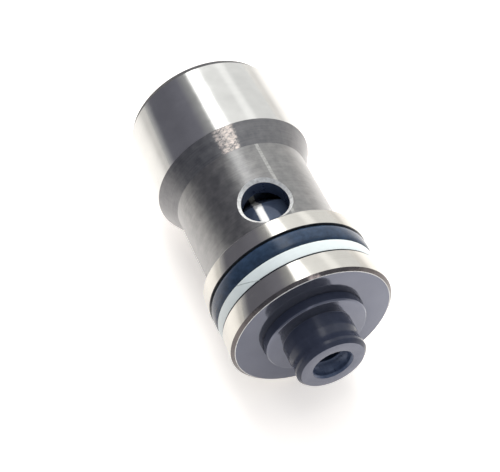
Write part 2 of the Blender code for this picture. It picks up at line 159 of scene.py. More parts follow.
table_white = bpy.data.materials.new("table_white")
table_white.use_nodes = True
tree = table_white.node_tree
shader = tree.nodes["Principled BSDF"]
away = node(tree, "ShaderNodeVectorMath", operation="LENGTH")
tree.links.new(node(tree, "ShaderNodeTexCoord").outputs["Object"], away.inputs[0])
# Painted pool of light: the table's colour and glow are full near the valve and fade to a dimmer share
# farther out.
lit = between(tree, away.outputs["Value"], PAINTED_POOL_WITHIN, PAINTED_POOL_BEYOND, 1.0, PAINTED_POOL_FAR_SHARE)
fibre = node(tree, "ShaderNodeTexNoise", Scale=900.0, Detail=2.0)
lit = math_node(tree, "MULTIPLY", lit, between(tree, fibre.outputs["Fac"], 0.3, 0.7, 0.985, 1.0))
tree.links.new(mixed(tree, 1.0, (0.95, 0.92, 0.885), lit, "MULTIPLY"), shader.inputs["Base Color"])
tree.links.new(mixed(tree, 1.0, (1.0, 0.955, 0.90), lit, "MULTIPLY"), shader.inputs["Emission Color"])
# The table glows though it is no lamp: painted light that lightens the shadows on it.
shader.inputs["Emission Strength"].default_value = PAINTED_TABLE_GLOW
shader.inputs["Roughness"].default_value = 0.6
shader.inputs["Specular IOR Level"].default_value = 0.2
table.data.materials.append(table_white)

tree = room.node_tree
direction = node(tree, "ShaderNodeTexCoord").outputs["Generated"]
split = node(tree, "ShaderNodeSeparateXYZ")
tree.links.new(direction, split.inputs[0])
towards = math_node(tree, "MULTIPLY", split.outputs["Y"], -1.0)
lean = math_node(tree, "ARCTAN2", towards, split.outputs["Z"])
share = math_node(tree, "MULTIPLY_ADD", lean, 0.5 / math.pi)
share.node.inputs[2].default_value = 0.5

DIM_TINT = (1.0, 1.0, 1.2)
VIEWER_SIDE = (0.085, 0.092, 0.108)
FAR_WALL = (0.06, 0.06, 0.065)


def sky(degrees, brightness, tint=(1.0, 1.0, 1.0)):
    """One stop of the room's brightness, by the angle from straight up towards -Y."""
    return 0.5 + degrees / 360.0, [channel * brightness / ROOM_PEAK for channel in tint]


room_light = ramp(
    tree,
    share,
    [
        # The far side of the room, from the floor up to its window.
        sky(-180.0, 1.3),
        sky(-112.0, 1.3),
        sky(-96.0, 1.13),
        sky(-58.0, 1.13),
        sky(-52.0, 1.5),
        sky(-45.0, 1.5),
        sky(-40.0, 1.22),
        sky(-15.0, 1.3),
        # The ceiling light.
        sky(-10.0, ROOM_PEAK),
        sky(2.0, ROOM_PEAK),
        # The dark side, down to the pale floor.
        sky(7.0, 0.5),
        sky(24.0, 0.22, DIM_TINT),
        sky(50.0, 0.175, DIM_TINT),
        sky(78.0, 0.18, DIM_TINT),
        sky(98.0, 1.0),
        sky(180.0, 1.3),
    ],
)
beside_viewer = between(tree, split.outputs["X"], 0.0, 0.42, 0.0, 0.85)
room_light = mixed(tree, beside_viewer, room_light, VIEWER_SIDE)
low_down = between(tree, split.outputs["Z"], 0.1, 0.2, 1.0, 0.0)
far_away = between(tree, split.outputs["X"], -0.95, -0.82, 1.0, 0.0)
room_light = mixed(tree, math_node(tree, "MULTIPLY", low_down, far_away), room_light, FAR_WALL)
background = tree.nodes["Background"]
background.inputs["Strength"].default_value = ROOM_PEAK
tree.links.new(room_light, background.inputs["Color"])

bpy.ops.object.light_add(type="AREA", location=(-0.85, 0.28, 0.45))
window = bpy.context.object
window.name = "window"
window.data.shape = "RECTANGLE"
window.data.size = 0.9
window.data.size_y = 0.35
window.data.energy = 9.0
window.visible_glossy = False
window.rotation_euler = (-window.location).to_track_quat("-Z", "Y").to_euler()

# ---------------------------------------------------------------- Sleeve
# Case-hardened steel sleeve, turned in one piece and blackened. The big land and the flange, on
# both sides of its seal groove, are ground bright to fit the cavity. The waist keeps its oxide.

MM = 0.001
FACE_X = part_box("sleeve")[1].x
AXIS_Z = (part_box("sleeve")[0].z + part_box("sleeve")[1].z) / 2

LAND = 11.0
NECK = 9.4
BORE = 6.85
GROOVE_FLOOR = 8.95
SEAT_POCKET = 7.6
SPRING_CHAMBER = 8.1
GUIDE_POCKET = 8.6
GROOVE_FRONT = -3.1
GROOVE_REAR = -7.65
FLANGE_REAR = -10.05
NECK_REAR = -23.5
LAND_FRONT = -26.5
SLEEVE_REAR = -38.6
SEAT_FRONT = -18.15
GUIDE_REAR = -36.6
PORT_STATION = -14.4
PORT = 3.1
PORT_RIM = 0.5
CHAMFER_DEPTH = 0.5
FACE_CHAMFER = 0.4
LEAD_CHAMFER = 0.95
RIM_WIDTH = 0.1
CLIP_GROOVE_REAR = -37.75
CLIP_GROOVE_DEPTH = 0.5
GUIDE_STEP = -34.05
CHAMBER_FRONT = NECK_REAR - 1.2
ROUND_STEPS = 192


def begin_piece():
    """Nothing else may be selected while a piece is shaped."""
    if bpy.context.object and bpy.context.object.mode != "OBJECT":
        bpy.ops.object.mode_set(mode="OBJECT")
    bpy.ops.object.select_all(action="DESELECT")


def turn(name, outline, corner=0.06, closed=True, steps=ROUND_STEPS, degrees=360.0, start=0.0):
    """Turns a (station, radius) outline on the valve's axis, every corner of it broken."""
    begin_piece()
    station, radius = outline[0]
    bpy.ops.mesh.primitive_plane_add(size=1.0, location=(station, 0.0, radius))
    made = bpy.context.object
    made.name = made.data.name = name
    bpy.ops.object.transform_apply()
    bpy.ops.object.mode_set(mode="EDIT")
    bpy.ops.mesh.merge(type="CENTER")
    following = outline[1:] + outline[:1] if closed else outline[1:]
    for (x_from, r_from), (x_to, r_to) in zip(outline, following):
        step = (x_to - x_from, 0.0, r_to - r_from)
        bpy.ops.mesh.extrude_region_move(TRANSFORM_OT_translate={"value": step})
    bpy.ops.mesh.select_all(action="SELECT")
    bpy.ops.mesh.remove_doubles(threshold=0.0001)
    if corner:
        if not closed:
            bpy.ops.object.mode_set(mode="OBJECT")
            for vertex in made.data.vertices:
                vertex.select = vertex.co.z > 0.001
            bpy.ops.object.mode_set(mode="EDIT")
        bpy.ops.mesh.bevel(offset=corner, segments=3, affect="VERTICES", clamp_overlap=True)
    bpy.ops.mesh.select_all(action="SELECT")
    if start:
        bpy.ops.transform.rotate(value=math.radians(start), orient_axis="X", center_override=(0, 0, 0))
    if degrees < 360.0:
        bpy.ops.mesh.edge_face_add()
    bpy.ops.mesh.spin(
        steps=steps, angle=math.radians(degrees), center=(0.0, 0.0, 0.0), axis=(1.0, 0.0, 0.0)
    )
    bpy.ops.mesh.select_all(action="SELECT")
    bpy.ops.mesh.remove_doubles(threshold=0.002)
    bpy.ops.mesh.normals_make_consistent(inside=False)
    bpy.ops.object.mode_set(mode="OBJECT")
    return made


def cut(target, tool, operation="DIFFERENCE"):
    """Cuts or joins with a second shape, which is used up."""
    begin_piece()
    step = target.modifiers.new(tool.name, "BOOLEAN")
    step.object = tool
    step.operation = operation
    step.solver = "EXACT"
    target.select_set(True)
    bpy.context.view_layer.objects.active = target
    bpy.ops.object.modifier_apply(modifier=step.name)
    bpy.data.objects.remove(tool)


def rod(name, start, end, radius, y=0.0, z=0.0, vertices=64):
    """A plain bar along the axis, used to drill or to add a boss."""
    begin_piece()
    bpy.ops.mesh.primitive_cylinder_add(
        vertices=vertices,
        radius=radius,
        depth=abs(end - start),
        location=((start + end) / 2, y, z),
        rotation=(0.0, math.pi / 2, 0.0),
    )
    made = bpy.context.object
    made.name = name
    bpy.ops.object.transform_apply()
    return made


def finish_piece(made, body, nodes, materials, smooth=35.0):
    """Sets a piece modelled in millimetres in its place in the valve, and gives it its finish."""
    begin_piece()
    made.select_set(True)
    bpy.context.view_layer.objects.active = made
    made.location = (FACE_X, 0.0, AXIS_Z)
    made.scale = (MM, MM, MM)
    bpy.ops.object.transform_apply()
    if smooth:
        bpy.ops.object.shade_smooth_by_angle(angle=math.radians(smooth))
    else:
        bpy.ops.object.shade_smooth()
    for material in materials:
        made.data.materials.append(material)
    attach(made, body)
    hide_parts(*nodes)


def on_the_axis(tree):
    """Sockets for a place on the valve: its station, its angle from the top, its radius, in mm."""
    coordinates = node(tree, "ShaderNodeTexCoord").outputs["Object"]
    place = node(
        tree, "ShaderNodeMapping", Location=(-FACE_X / MM, 0.0, -AXIS_Z / MM), Scale=(1 / MM,) * 3
    )
    tree.links.new(coordinates, place.inputs["Vector"])
    parts = node(tree, "ShaderNodeSeparateXYZ")
    tree.links.new(place.outputs[0], parts.inputs[0])
    side = math_node(tree, "MULTIPLY", parts.outputs["Y"], -1.0)
    angle = math_node(tree, "ARCTAN2", side, parts.outputs["Z"])
    squares = [math_node(tree, "MULTIPLY", parts.outputs[axis], parts.outputs[axis]) for axis in "YZ"]
    radius = math_node(tree, "SQRT", math_node(tree, "ADD", *squares))
    return parts.outputs["X"], angle, radius


def wrapped_noise(tree, along, around, scale, detail=3.0, roughness=0.55, z=None):
    """Noise wrapped round the valve: along and around are sockets already stretched as wanted."""
    vector = node(tree, "ShaderNodeCombineXYZ")
    tree.links.new(along, vector.inputs[0])
    tree.links.new(around, vector.inputs[1])
    if z is not None:
        tree.links.new(z, vector.inputs[2])
    noise = node(tree, "ShaderNodeTexNoise", Scale=scale, Detail=detail, Roughness=roughness)
    tree.links.new(vector.outputs[0], noise.inputs["Vector"])
    return noise.outputs["Fac"]


def metal_finish(
    name, dark, light, rough, grain, mottle, bump, metallic=1.0, lumps=0.0, wear_and_highlight=None, gloss=0.5, coat=0.0
):
    """A machined metal: fine tool lines round the axis over slower mottling.

    rough is its lowest and highest roughness. grain is how many tool lines show in a millimetre,
    mottle how large the colour patches are in mm, bump how deep the lines look, and lumps how much
    of that depth the patches have too. wear_and_highlight is a lighter patch at one angle round the
    axis: its middle and half width in degrees from the top, its colour, and how much of it shows.
    On the cone it is a rubbed patch of wear; on the waist it is a painted reflection streak, and on
    the front chamfer and the spool's land a painted highlight. gloss is the shine of the oxide
    itself, coat a film of oil on it."""
    made = bpy.data.materials.new(name)
    made.use_nodes = True
    tree = made.node_tree
    shader = tree.nodes["Principled BSDF"]
    shader.inputs["Metallic"].default_value = metallic
    shader.inputs["Specular IOR Level"].default_value = gloss
    shader.inputs["Coat Weight"].default_value = coat
    shader.inputs["Coat Roughness"].default_value = 0.16
    station, angle, radius = on_the_axis(tree)
    arc = math_node(tree, "MULTIPLY", angle, 9.0)
    slow_arc = math_node(tree, "MULTIPLY", angle, 1.6)
    fast_station = math_node(tree, "MULTIPLY", station, grain)
    lines = wrapped_noise(tree, fast_station, slow_arc, 1.0, 4.0, 0.6, radius)
    patches = wrapped_noise(tree, station, arc, 1.0 / mottle, 5.0, 0.6, radius)
    shade = math_node(tree, "MULTIPLY_ADD", lines, 0.35)
    tree.links.new(math_node(tree, "MULTIPLY", patches, 0.65), shade.node.inputs[2])
    colour = ramp(tree, shade, [(0.3, dark), (0.7, light)])
    dullness = between(tree, patches, 0.3, 0.7, *rough, smooth=False)
    height = math_node(tree, "MULTIPLY_ADD", patches, lumps)
    tree.links.new(lines, height.node.inputs[2])
    # A lighter patch at one angle round the axis: rubbed wear on the cone; a painted reflection streak on
    # the waist and a painted highlight on the front chamfer and the spool's land.
    if wear_and_highlight:
        middle, half_width, bare, amount = wear_and_highlight
        off_middle = math_node(tree, "SUBTRACT", angle, math.radians(middle))
        off_middle = math_node(tree, "ABSOLUTE", off_middle)
        edges = math.radians(0.45 * half_width), math.radians(half_width)
        inside = between(tree, off_middle, *edges, 1.0, 0.0)
        across = math_node(tree, "MULTIPLY", station, 1.7)
        wear_and_highlight_breakup = wrapped_noise(tree, across, arc, 1.7, 7.0, 0.75, radius)
        reach = math_node(tree, "ADD", wear_and_highlight_breakup, math_node(tree, "MULTIPLY", inside, amount))
        rubbed = math_node(tree, "MULTIPLY", between(tree, reach, 0.72, 1.0), inside)
        colour = mixed(tree, rubbed, colour, bare)
        height = math_node(tree, "ADD", height, math_node(tree, "MULTIPLY", rubbed, lumps))
    tree.links.new(colour, shader.inputs["Base Color"])
    tree.links.new(dullness, shader.inputs["Roughness"])
    relief = node(tree, "ShaderNodeBump", Strength=bump, Distance=0.00002)
    tree.links.new(height, relief.inputs["Height"])
    tree.links.new(relief.outputs[0], shader.inputs["Normal"])
    return made


ground_land = metal_finish(
    "ground_land",
    dark=(0.53, 0.53, 0.515),
    light=(0.62, 0.62, 0.60),
    rough=(0.10, 0.16),
    grain=14.0,
    mottle=3.0,
    bump=0.1,
)
ground_flange = metal_finish(
    "ground_flange",
    dark=(0.52, 0.505, 0.47),
    light=(0.61, 0.595, 0.55),
    rough=(0.09, 0.15),
    grain=14.0,
    mottle=3.0,
    bump=0.1,
)
# The waist's narrow light streak at -15.5 degrees is a painted reflection streak, at the angle where the
# lands mirror the room's second bright streak.
oxide_waist = metal_finish(
    "oxide_waist",
    dark=(0.13, 0.131, 0.133),
    light=(0.26, 0.257, 0.25),
    rough=(0.30, 0.38),
    grain=9.0,
    mottle=1.2,
    bump=0.3,
    metallic=0.9,
    lumps=0.6,
    wear_and_highlight=(-15.5, 2.4, (0.36, 0.36, 0.345), 0.42),
    coat=0.5,
)
oxide_cone = metal_finish(
    "oxide_cone",
    dark=(0.105, 0.107, 0.114),
    light=(0.205, 0.203, 0.206),
    rough=(0.34, 0.46),
    grain=7.0,
    mottle=1.0,
    bump=0.5,
    metallic=0.9,
    lumps=1.5,
    wear_and_highlight=(5.0, 12.0, (0.78, 0.69, 0.62), 0.38),
    coat=0.5,
)
oxide_face = metal_finish(
    "oxide_face",
    dark=(0.13, 0.14, 0.18),
    light=(0.165, 0.175, 0.22),
    rough=(0.09, 0.14),
    grain=6.0,
    mottle=4.0,
    bump=0.06,
    metallic=0.75,
)
oxide_chamfer = metal_finish(
    "oxide_chamfer",
    dark=(0.03, 0.03, 0.032),
    light=(0.075, 0.073, 0.075),
    rough=(0.5, 0.6),
    grain=6.0,
    mottle=0.6,
    bump=0.3,
    metallic=0.0,
    gloss=0.15,
)
# The front chamfer's lighter patch at the top of the valve is a painted highlight, where the ceiling light
# would glint on it.
front_chamfer_painted_highlight = metal_finish(
    "front_chamfer_painted_highlight",
    dark=(0.10, 0.09, 0.09),
    light=(0.16, 0.145, 0.142),
    rough=(0.22, 0.34),
    grain=6.0,
    mottle=1.0,
    bump=0.2,
    wear_and_highlight=(-2.0, 7.0, (0.80, 0.66, 0.60), 0.36),
)
oxide_bore = metal_finish(
    "oxide_bore",
    dark=(0.05, 0.07, 0.125),
    light=(0.09, 0.12, 0.19),
    rough=(0.25, 0.36),
    grain=6.0,
    mottle=1.5,
    bump=0.2,
    metallic=0.3,
)
deburred_rim = metal_finish(
    "deburred_rim",
    dark=(0.5, 0.5, 0.48),
    light=(1.0, 1.0, 0.97),
    rough=(0.38, 0.5),
    grain=4.0,
    mottle=0.4,
    bump=0.6,
    metallic=0.3,
    lumps=3.0,
)

sleeve = turn(
    "turned_sleeve",
    [
        (0.0, LAND - CHAMFER_DEPTH),
        (-0.06, LAND - CHAMFER_DEPTH + RIM_WIDTH),
        (-FACE_CHAMFER, LAND),
        (GROOVE_FRONT, LAND),
        (GROOVE_FRONT, GROOVE_FLOOR),
        (GROOVE_REAR, GROOVE_FLOOR),
        (GROOVE_REAR, LAND),
        (FLANGE_REAR + 0.2, LAND),
        (FLANGE_REAR, LAND - 0.2),
        (FLANGE_REAR, NECK),
        (NECK_REAR, NECK),
        (LAND_FRONT, LAND),
        (SLEEVE_REAR + LEAD_CHAMFER, LAND),
        (SLEEVE_REAR, LAND - CHAMFER_DEPTH),
        (SLEEVE_REAR, GUIDE_POCKET + 0.4),
        (SLEEVE_REAR + 0.4, GUIDE_POCKET),
        (CLIP_GROOVE_REAR, GUIDE_POCKET),
        (CLIP_GROOVE_REAR, GUIDE_POCKET + CLIP_GROOVE_DEPTH),
        (GUIDE_REAR, GUIDE_POCKET + CLIP_GROOVE_DEPTH),
        (GUIDE_REAR, GUIDE_POCKET),
        (GUIDE_STEP, GUIDE_POCKET),
        (GUIDE_STEP, SPRING_CHAMBER),
        (CHAMBER_FRONT, SPRING_CHAMBER),
        (CHAMBER_FRONT, SEAT_POCKET),
        (SEAT_FRONT + 0.05, SEAT_POCKET),
        (SEAT_FRONT + 0.05, BORE),
        (-0.03, BORE),
        (0.0, BORE + 0.03),
    ],
)


def port_cutter(side):
    """A drill whose countersink follows the waist's round, so that the rim is even all round."""
    begin_piece()
    bpy.ops.mesh.primitive_cylinder_add(
        vertices=96, radius=PORT, depth=1.0, location=(PORT_STATION, 0.0, side * (NECK - 4.5))
    )
    cutter = bpy.context.object
    cutter.name = "port_cutter"
    bpy.ops.object.transform_apply()
    bpy.ops.object.mode_set(mode="EDIT")
    bpy.ops.mesh.select_all(action="DESELECT")
    bpy.ops.object.mode_set(mode="OBJECT")
    for face in cutter.data.polygons:
        face.select = face.normal.z * side > 0.9
    bpy.ops.object.mode_set(mode="EDIT")
    for rise, growth in (
        (3.55, 1.0),
        (PORT_RIM, 1.0 + PORT_RIM / PORT),
        (1.0, 1.0 + 1.0 / (PORT + PORT_RIM)),
    ):
        bpy.ops.mesh.extrude_region_move(TRANSFORM_OT_translate={"value": (0.0, 0.0, side * rise)})
        if growth > 1.0:
            bpy.ops.transform.resize(value=(growth, growth, 1.0), center_override=(PORT_STATION, 0.0, 0.0))
    bpy.ops.object.mode_set(mode="OBJECT")
    for vertex in cutter.data.vertices:
        height = abs(vertex.co.z)
        if height > NECK - 0.6:
            sag = NECK - math.sqrt(max(NECK**2 - vertex.co.y**2, 0.0))
            vertex.co.z -= side * sag
    return cutter


for side in (1, -1):
    cut(sleeve, port_cutter(side))

sleeve_finishes = [
    ground_land,
    oxide_waist,
    oxide_cone,
    oxide_face,
    deburred_rim,
    ground_flange,
    front_chamfer_painted_highlight,
    oxide_chamfer,
    oxide_bore,
]
finish_piece(sleeve, "sleeve_body", ["sleeve"], sleeve_finishes)
chamfer_foot = LAND - CHAMFER_DEPTH
for face in sleeve.data.polygons:
    station = (face.center.x - FACE_X) / MM
    y, z = face.center.y / MM, (face.center.z - AXIS_Z) / MM
    radius = math.hypot(y, z)
    from_port = math.hypot(station - PORT_STATION, y)
    tilt = abs(face.normal.x)
    if radius > LAND - 0.03 and tilt < 0.2:
        finish = ground_flange if station > NECK_REAR else ground_land
    elif NECK_REAR - 0.02 > station > LAND_FRONT + 0.02 and radius > NECK:
        finish = oxide_cone
    elif station > -0.05 and chamfer_foot < radius < chamfer_foot + RIM_WIDTH:
        finish = deburred_rim
    elif station > -FACE_CHAMFER - 0.01 and radius > chamfer_foot + 0.02:
        finish = front_chamfer_painted_highlight
    elif station < SLEEVE_REAR + LEAD_CHAMFER + 0.01 and radius > chamfer_foot + 0.02:
        finish = oxide_chamfer
    elif station > -0.05 and radius > BORE:
        finish = oxide_face
    elif PORT + 0.02 < from_port < PORT + PORT_RIM and NECK - 0.6 < radius < NECK - 0.02:
        finish = deburred_rim
    elif radius < NECK - 0.02 and station > LAND_FRONT:
        finish = oxide_bore
    else:
        finish = oxide_waist
    face.material_index = sleeve_finishes.index(finish)

# ---------------------------------------------------------------- Sleeve seals
# A nitrile O-ring with one white PTFE back-up ring in front of it share the flange's groove.
# The O-ring is squeezed a little wide; the back-up ring is scarf-cut so that it springs in.


def moulded(name, colour, roughness, speckle, gloss=0.5):
    """Rubber or plastic: an even skin with a faint moulding texture and fine dust."""
    made = bpy.data.materials.new(name)
    made.use_nodes = True
    tree = made.node_tree
    shader = tree.nodes["Principled BSDF"]
    shader.inputs["Specular IOR Level"].default_value = gloss
    station, angle, radius = on_the_axis(tree)
    arc = math_node(tree, "MULTIPLY", angle, 9.0)
    skin = wrapped_noise(tree, station, arc, 1.4, 5.0, 0.6, radius)
    dark = [channel * (1.0 - speckle) for channel in colour]
    light = [min(channel * (1.0 + speckle), 1.0) for channel in colour]
    tree.links.new(ramp(tree, skin, [(0.3, dark), (0.7, light)]), shader.inputs["Base Color"])
    tree.links.new(between(tree, skin, 0.3, 0.7, *roughness, smooth=False), shader.inputs["Roughness"])
    relief = node(tree, "ShaderNodeBump", Strength=0.15, Distance=0.00002)
    fine = wrapped_noise(tree, station, arc, 9.0, 3.0, 0.6, radius)
    tree.links.new(fine, relief.inputs["Height"])
    tree.links.new(relief.outputs[0], shader.inputs["Normal"])
    return made


nitrile = moulded("nitrile_rubber", (0.022, 0.042, 0.078), (0.13, 0.22), 0.3, 0.28)
# A near-black skin that paints the shade in the narrow gap in front of the back-up ring.
painted_gap_shade = moulded("painted_gap_shade", (0.02, 0.022, 0.03), (0.2, 0.3), 0.2)
white_ptfe = moulded("white_ptfe", (0.65, 0.71, 0.70), (0.32, 0.45), 0.03)


def o_ring(name, station, width, inner, outer, fullness=2.0):
    """An O-ring. Fullness 2 is its moulded round; a higher one is its shape squeezed in a gland."""
    middle = (inner + outer) / 2
    half = (outer - inner) / 2
    section = []
    for index in range(32):
        turned_by = 2 * math.pi * index / 32
        along, out = math.cos(turned_by), math.sin(turned_by)
        along = math.copysign(abs(along) ** (2 / fullness), along)
        out = math.copysign(abs(out) ** (2 / fullness), out)
        section.append((station + along * width / 2, middle + out * half))
    return turn(name, section, corner=0.0)


BACKUP_WIDTH = 1.8
SCARF_AT = 38.0
SCARF_LEAN = 62.0
backup_front = GROOVE_FRONT - 0.12
backup_ring = turn(
    "white_backup_ring",
    [
        (backup_front, 10.74),
        (backup_front - 0.16, 10.9),
        (backup_front - BACKUP_WIDTH + 0.12, 10.93),
        (backup_front - BACKUP_WIDTH, 10.8),
        (backup_front - BACKUP_WIDTH, GROOVE_FLOOR + 0.05),
        (backup_front, GROOVE_FLOOR + 0.05),
    ],
)
begin_piece()
bpy.ops.mesh.primitive_cube_add(
    size=1.0,
    location=(backup_front - BACKUP_WIDTH / 2, 0.0, 10.0),
    rotation=(0.0, 0.0, math.radians(SCARF_LEAN)),
)
scarf_knife = bpy.context.object
scarf_knife.name = "scarf_knife"
scarf_knife.scale = (6.0, 0.06, 3.0)
bpy.ops.object.transform_apply()
bpy.ops.object.mode_set(mode="EDIT")
bpy.ops.mesh.select_all(action="SELECT")
bpy.ops.transform.rotate(value=math.radians(-SCARF_AT), orient_axis="X", center_override=(0.0, 0.0, 0.0))
bpy.ops.object.mode_set(mode="OBJECT")
cut(backup_ring, scarf_knife)
backup_finishes = [white_ptfe, painted_gap_shade]
finish_piece(backup_ring, "sleeve_body", ["sleeve_backup_ring"], backup_finishes)
# Painted shade: the ring's front edge is made near-black, standing for the shade in the gap between it and
# the front land.
for face in backup_ring.data.polygons:
    station = (face.center.x - FACE_X) / MM
    radius = math.hypot(face.center.y, face.center.z - AXIS_Z) / MM
    if station > backup_front - 0.15 and radius > 10.6:
        face.material_index = backup_finishes.index(painted_gap_shade)

ring_front = backup_front - BACKUP_WIDTH - 0.05
ring_rear = GROOVE_REAR + 0.02
sleeve_ring = o_ring(
    "flange_o_ring",
    station=(ring_front + ring_rear) / 2,
    width=ring_front - ring_rear,
    inner=GROOVE_FLOOR + 0.05,
    outer=10.98,
    fullness=3.4,
)
finish_piece(sleeve_ring, "sleeve_body", ["sleeve_o_ring"], [nitrile], 0.0)

# ---------------------------------------------------------------- Poppet spool
# The moving valve: a ground spool blackened to a gloss, with a hub, a stem tapped M5 for the
# actuating rod, a conical poppet inside and a thin tail that carries the spring retainer.

HUB = 1.25
STEM = 4.65
SPOOL = 6.82
STEM_END = 5.95
CONE_START = -15.8
THREAD_ROOT = 2.5
THREAD_CREST = 2.1
THREAD_PITCH = 0.8
THREAD_DEPTH = 6.0
GUIDE_GROOVE_FRONT = -2.9
GUIDE_GROOVE_REAR = -5.0
GUIDE_GROOVE_FLOOR = 6.0
SEAL_GROOVE_FRONT = -5.7
SEAL_GROOVE_REAR = -9.8
SEAL_GROOVE_FLOOR = 5.35
CONE_END = -18.55
TAIL = 2.0
COLLET_GROOVE_FRONT = -30.35
COLLET_GROOVE_REAR = -31.05
COLLET_GROOVE_FLOOR = 1.55
TAIL_END = -38.1

oxide_gloss = metal_finish(
    "oxide_gloss",
    dark=(0.031, 0.037, 0.06),
    light=(0.046, 0.054, 0.084),
    rough=(0.13, 0.22),
    grain=8.0,
    mottle=2.0,
    bump=0.1,
    metallic=0.0,
    gloss=0.2,
)
# The spool's land carries a painted highlight near the top: the ceiling light's streak as it shows through
# the ports.
lapped_land = metal_finish(
    "lapped_land",
    dark=(0.05, 0.07, 0.115),
    light=(0.08, 0.105, 0.16),
    rough=(0.1, 0.16),
    grain=12.0,
    mottle=2.0,
    bump=0.06,
    metallic=0.3,
    wear_and_highlight=(5.5, 6.5, (0.62, 0.62, 0.6), 0.7),
)

stem_relief = [
    (STEM_END - 0.9 - 1.9 * step / 8, 4.68 - 0.14 * math.sin(math.pi * step / 8)) for step in range(9)
]
spool = turn(
    "turned_poppet_spool",
    [
        (STEM_END - THREAD_DEPTH - 1.5, 0.0),
        (STEM_END - THREAD_DEPTH, THREAD_CREST),
        (STEM_END - THREAD_DEPTH + 0.5, THREAD_ROOT),
        (STEM_END - 0.3, THREAD_ROOT),
        (STEM_END, THREAD_ROOT + 0.25),
        (STEM_END, 4.25),
        (STEM_END - 0.45, 4.7),
        *stem_relief,
        (HUB, STEM),
        (HUB, SPOOL - 0.2),
        (HUB - 0.2, SPOOL),
        (GUIDE_GROOVE_FRONT, SPOOL),
        (GUIDE_GROOVE_FRONT, GUIDE_GROOVE_FLOOR),
        (GUIDE_GROOVE_REAR, GUIDE_GROOVE_FLOOR),
        (GUIDE_GROOVE_REAR, SPOOL),
        (SEAL_GROOVE_FRONT, SPOOL),
        (SEAL_GROOVE_FRONT, SEAL_GROOVE_FLOOR),
        (SEAL_GROOVE_REAR, SEAL_GROOVE_FLOOR),
        (SEAL_GROOVE_REAR, SPOOL),
        (CONE_START, SPOOL),
        (CONE_END, 4.05),
        (CONE_END - 1.3, TAIL),
        (COLLET_GROOVE_FRONT, TAIL),
        (COLLET_GROOVE_FRONT, COLLET_GROOVE_FLOOR),
        (COLLET_GROOVE_REAR, COLLET_GROOVE_FLOOR),
        (COLLET_GROOVE_REAR, TAIL),
        (TAIL_END + 0.3, TAIL),
        (TAIL_END, TAIL - 0.3),
        (TAIL_END, 0.7),
        (TAIL_END + 0.6, 0.0),
    ],
    corner=0.05,
    closed=False,
)


def internal_thread():
    """The ridge of the tapped thread, wound up the hole."""
    begin_piece()
    thread_start = STEM_END - THREAD_DEPTH + 0.3
    bpy.ops.mesh.primitive_plane_add(size=1.0, location=(thread_start, 0.0, THREAD_ROOT))
    ridge = bpy.context.object
    ridge.name = "thread_ridge"
    bpy.ops.object.transform_apply()
    bpy.ops.object.mode_set(mode="EDIT")
    bpy.ops.mesh.merge(type="CENTER")
    half = 0.42 * THREAD_PITCH
    depth = THREAD_ROOT - THREAD_CREST
    for step in (
        (-half, 0.0, 0.12),
        (half - 0.07, 0.0, -depth - 0.12),
        (0.14, 0.0, 0.0),
        (half - 0.07, 0.0, depth + 0.12),
    ):
        bpy.ops.mesh.extrude_region_move(TRANSFORM_OT_translate={"value": step})
    bpy.ops.object.mode_set(mode="OBJECT")
    for vertex in ridge.data.vertices:
        vertex.select = abs(vertex.co.z - THREAD_ROOT) < 1e-4
    bpy.ops.object.mode_set(mode="EDIT")
    bpy.ops.mesh.delete(type="VERT")
    bpy.ops.mesh.select_all(action="SELECT")
    bpy.ops.mesh.edge_face_add()
    bpy.ops.object.mode_set(mode="OBJECT")
    screw = ridge.modifiers.new("wind", "SCREW")
    turns = 5.0
    screw.axis = "X"
    screw.angle = 2 * math.pi * turns
    screw.screw_offset = THREAD_PITCH * turns
    screw.steps = screw.render_steps = round(64 * turns)
    screw.use_merge_vertices = False
    bpy.ops.object.modifier_apply(modifier=screw.name)
    bpy.ops.object.mode_set(mode="EDIT")
    bpy.ops.mesh.select_all(action="SELECT")
    bpy.ops.mesh.remove_doubles(threshold=0.001)
    bpy.ops.mesh.normals_make_consistent(inside=False)
    bpy.ops.object.mode_set(mode="OBJECT")
    return ridge


cut(spool, internal_thread(), "UNION")
spool_finishes = [oxide_gloss, oxide_face, lapped_land, oxide_bore]
finish_piece(spool, "spool_body", ["poppet_spool"], spool_finishes)
for face in spool.data.polygons:
    station = (face.center.x - FACE_X) / MM
    radius = math.hypot(face.center.y, face.center.z - AXIS_Z) / MM
    on_hub_edge = HUB > station > HUB - 0.2 and radius > STEM
    if station < -1.0 and radius > SPOOL - 0.05 or CONE_START > station > CONE_END - 0.05:
        finish = lapped_land
    elif radius > THREAD_ROOT + 0.2 and (face.normal.x > 0.9 or on_hub_edge):
        finish = oxide_face
    elif station > STEM_END - THREAD_DEPTH - 1.6 and radius < THREAD_ROOT + 0.2:
        finish = oxide_bore
    else:
        finish = oxide_gloss
    face.material_index = spool_finishes.index(finish)

# ---------------------------------------------------------------- Spool seals
# In the spool's grooves, out of sight in the bore: a bronze-filled PTFE guide ring, and an O-ring
# between two back-up rings that keep the pressure from squeezing it out.

filled_ptfe = moulded("bronze_filled_ptfe", (0.20, 0.13, 0.07), (0.4, 0.55), 0.25)


def flat_ring(name, front, width, inner, outer, corner=0.05):
    """A plain ring turned to a rectangular section, its front face at the given station."""
    section = [(front, outer), (front - width, outer), (front - width, inner), (front, inner)]
    return turn(name, section, corner)


guide_ring = flat_ring("filled_guide_ring", -2.95, 2.0, 6.05, 6.8)
finish_piece(guide_ring, "spool_body", ["spool_guide_ring"], [filled_ptfe])
for label, cad_node, front in (
    ("front", "spool_backup_front", -5.75),
    ("rear", "spool_backup_rear", -8.65),
):
    ring = flat_ring("bore_backup_" + label, front, 1.1, 5.4, 6.8)
    finish_piece(ring, "spool_body", [cad_node], [white_ptfe])
bore_ring = o_ring("bore_o_ring", -7.75, 1.68, 5.4, 6.8)
finish_piece(bore_ring, "spool_body", ["spool_o_ring"], [nitrile], 0.0)

